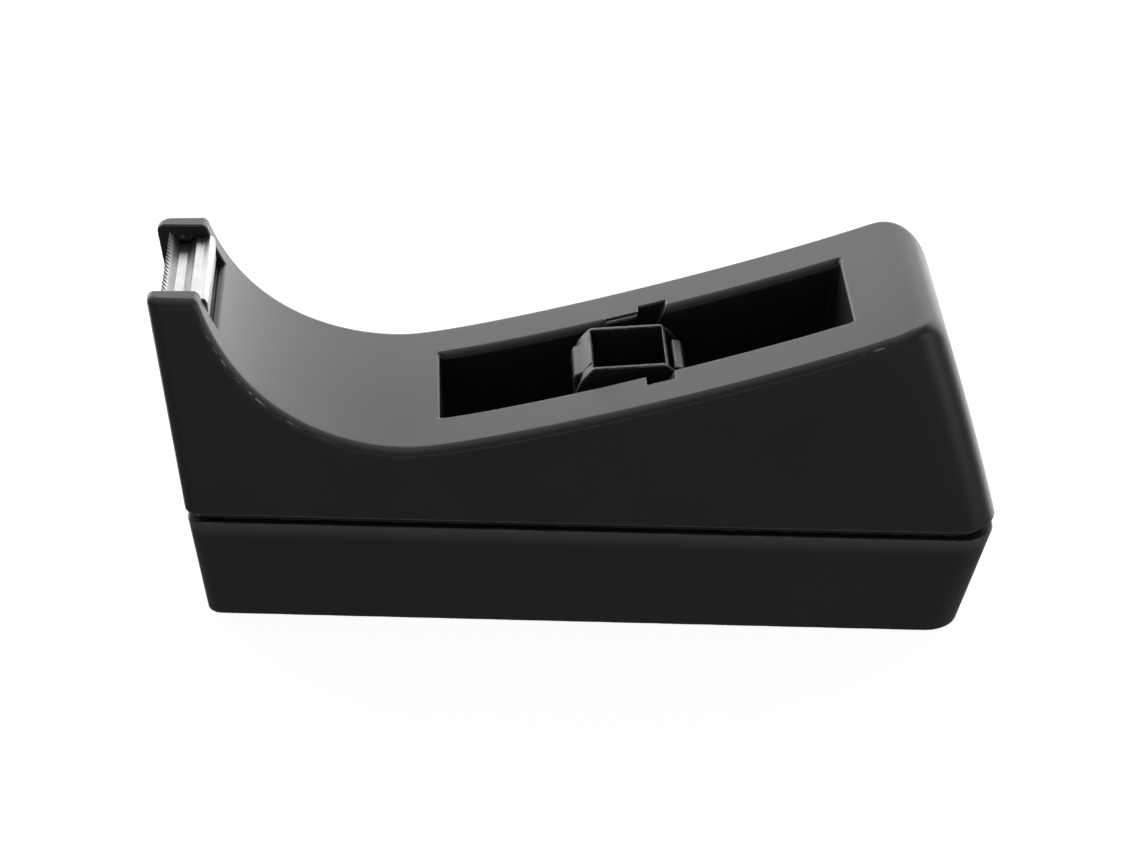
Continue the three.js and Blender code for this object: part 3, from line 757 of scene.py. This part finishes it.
def foam_rubber():
    """Dark closed-cell foam: small round cells in a matt sheet."""
    n = Nodes("foam_rubber_look")
    cells = n.add("ShaderNodeTexVoronoi", {"Vector": n.place, "Scale": 1 / (0.55 * MM)}).outputs["Distance"]
    cloud = n.noise(20, 4, 0.6)
    pits = n.ramp(cells, 0.1, 0.5)
    colour = n.mix(pits, grey(0.010), grey(0.026))
    colour = n.mix(n.ramp(cloud, 0.4, 0.7, 0, 0.5), colour, grey(0.040))
    rough = n.ramp(cloud, 0.3, 0.7, 0.85, 0.97)
    return n.finish(**{"Base Color": colour, "Roughness": rough, "Normal": n.bump(pits, 0.12)})


def zinc_steel():
    """Zinc-plated screw: dull bright metal, slightly mottled."""
    n = Nodes("screw_steel_look")
    mottle = n.noise(1.6, 4, 0.6)
    colour = n.mix(n.ramp(mottle, 0.3, 0.7), grey(0.50, -0.01), grey(0.64, -0.02))
    rough = n.ramp(mottle, 0.2, 0.8, 0.28, 0.45)
    normal = n.bump(mottle, 0.01)
    return n.finish(**{"Base Color": colour, "Roughness": rough, "Normal": normal, "Metallic": 1.0})


# ---------------------------------------------------------------- pieces


def dress(node_name, material):
    """Gives a CAD node that keeps its mesh a better material."""
    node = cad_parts[node_name]
    for place in node.material_slots:
        place.material = material
    if not node.material_slots:
        node.data.materials.append(material)


def make_pieces():
    """The four meshed pieces and the six CAD nodes that keep their meshes. The grid steps are fine
    where a piece has small shapes and coarse in between."""
    black = moulded_plastic("black_abs_look", 0.018, 0.36, 0.28, 0.010)
    hub_black = moulded_plastic("hub_plastic_look", 0.020, 0.36, 0.22, 0.006)
    housing_lines = (
        spread(-89.6, (-74, 0.35), (3, 1.0), (23, 0.3), (60, 1.0), (90, 0.6)),
        both_ways((12.2, 1.0), (17.2, 0.25), (34, 0.55)),
        spread(1.5, (14.5, 0.8), (26.8, 1.0), (28.6, 0.18), (42.4, 1.0), (76, 0.4)),
    )
    shell = moulded("moulded_housing", housing, housing_lines, black, 170_000, highlight_height)
    tray_lines = (
        spread(-84, (-74, 0.6), (74, 1.2), (90, 0.7)),
        both_ways((17, 1.2), (34, 0.5)),
        spread(-0.4, (3.6, 0.35), (23.6, 1.0), (26.4, 0.18), (32, 0.5)),
    )
    base = moulded("moulded_tray", tray, tray_lines, black, 110_000)
    hub_lines = (
        spread(HUB_AXIS[0] - 14, (HUB_AXIS[0] + 14, 0.22)),
        both_ways((16.4, 0.22)),
        spread(HUB_AXIS[1] - 14, (HUB_AXIS[1] + 14, 0.22)),
    )
    spool = moulded("moulded_hub", hub, hub_lines, hub_black, 120_000)
    blade_lines = (
        spread(-86.8, (-75.4, 0.13)),
        both_ways((14.2, 0.13)),
        spread(66.6, (75.2, 0.13)),
    )
    cutter = moulded("pressed_blade", blade, blade_lines, pressed_steel(), 120_000)
    for piece, body, node, slot in (
        (shell, "body", "upper_housing", "black_abs"),
        (base, "body", "base_tray", "black_abs"),
        (spool, "hub", "tape_hub", "hub_plastic"),
        (cutter, "body", "cutter_blade", "blade_steel"),
    ):
        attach(piece, body)
        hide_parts(node)
    dress("ballast_block", cast_fill())
    dress("non_slip_pad", foam_rubber())
    screw_look = zinc_steel()
    for place in ("front_left", "front_right", "rear_left", "rear_right"):
        dress("screw_" + place, screw_look)


# ---------------------------------------------------------------- stage, light and camera

CAMERA_ELEVATION = math.radians(31.49)
CAMERA_AZIMUTH = math.radians(3.29)
CAMERA_ROLL = math.radians(1.89)
CAMERA_TARGET = Vector((-0.75, 0, 33.94)) * MM
CAMERA_DISTANCE = 0.67204
SENSOR_WIDTH = 36
LENS_PER_WIDTH = 3125 / 1140  # focal length over the picture's width


def make_floor():
    """A plain pale floor that lights itself a little, so that shadows stay faint."""
    half = 4.0
    mesh = bpy.data.meshes.new("floor")
    level = -0.0002
    corners = [(-half, -half, level), (half, -half, level), (half, half, level), (-half, half, level)]
    mesh.from_pydata(corners, [], [(0, 1, 2, 3)])
    floor = bpy.data.objects.new("floor", mesh)
    bpy.context.scene.collection.objects.link(floor)
    look = {"Base Color": grey(0.4), "Roughness": 0.9, "Emission Color": grey(1.0), "Emission Strength": 0.92}
    mesh.materials.append(Nodes("floor_look").finish(**look))
    floor.visible_glossy = False
    floor.visible_shadow = False
    floor.visible_diffuse = False


def make_world():
    """Dim, nearly even surroundings, a touch dimmer from straight below."""
    world = bpy.data.worlds.new("studio")
    bpy.context.scene.world = world
    world.use_nodes = True
    tree = world.node_tree
    tree.nodes.clear()
    place = tree.nodes.new("ShaderNodeTexCoord").outputs["Generated"]
    height = tree.nodes.new("ShaderNodeSeparateXYZ")
    tree.links.new(place, height.inputs[0])
    ramp = tree.nodes.new("ShaderNodeMapRange")
    ramp.interpolation_type = "SMOOTHSTEP"
    for key, value in (("From Min", -0.9), ("From Max", -0.3), ("To Min", 0.18), ("To Max", 0.19)):
        ramp.inputs[key].default_value = value
    tree.links.new(height.outputs["Z"], ramp.inputs["Value"])
    background = tree.nodes.new("ShaderNodeBackground")
    background.inputs["Color"].default_value = (1.0, 1.0, 1.0, 1.0)
    tree.links.new(ramp.outputs["Result"], background.inputs["Strength"])
    output = tree.nodes.new("ShaderNodeOutputWorld")
    tree.links.new(background.outputs[0], output.inputs["Surface"])


def make_card(name, centre, width, height, turn, radiance):
    """A white card that lights the object evenly; turn is how far it is swung about the upright."""
    data = bpy.data.lights.new(name, "AREA")
    data.shape = "RECTANGLE"
    data.size = width
    data.size_y = height
    data.energy = math.pi * radiance * width * height
    card = bpy.data.objects.new(name, data)
    card.location = centre
    card.rotation_euler = (math.radians(-90), 0, math.radians(turn))
    card.visible_camera = False
    bpy.context.scene.collection.objects.link(card)


def make_cards():
    make_card("card_wide", (0.1, 0.4, 0.05), 1.4, 0.80, 0, 2.0)
    make_card("card_bright", (-0.065, 0.4, 0.25), 0.47, 0.40, 0, 2.0)
    make_card("card_right", (0.7, -0.25, 0.25), 0.3, 0.5, -90, 1.2)
    make_card("card_front", (0.0, -1.3, 0.13), 1.6, 0.2, 180, 0.9)


def make_camera():
    """The photograph's view: from the -Y side, above and slightly to the left, and rolled a little."""
    forward = Vector((
        math.sin(CAMERA_AZIMUTH) * math.cos(CAMERA_ELEVATION),
        math.cos(CAMERA_AZIMUTH) * math.cos(CAMERA_ELEVATION),
        -math.sin(CAMERA_ELEVATION),
    ))
    level = Vector((math.cos(CAMERA_AZIMUTH), -math.sin(CAMERA_AZIMUTH), 0))
    upright = level.cross(forward)
    right = level * math.cos(CAMERA_ROLL) + upright * math.sin(CAMERA_ROLL)
    up = upright * math.cos(CAMERA_ROLL) - level * math.sin(CAMERA_ROLL)
    data = bpy.data.cameras.new("camera")
    data.sensor_width = SENSOR_WIDTH
    data.lens = SENSOR_WIDTH * LENS_PER_WIDTH
    camera = bpy.data.objects.new("camera", data)
    turned = Matrix((right, up, -forward)).transposed().to_4x4()
    camera.matrix_world = Matrix.Translation(CAMERA_TARGET - forward * CAMERA_DISTANCE) @ turned
    bpy.context.scene.collection.objects.link(camera)
    bpy.context.scene.camera = camera


make_camera()
make_floor()
make_world()
make_cards()
make_pieces()
bpy.context.scene.view_settings.view_transform = "Standard"
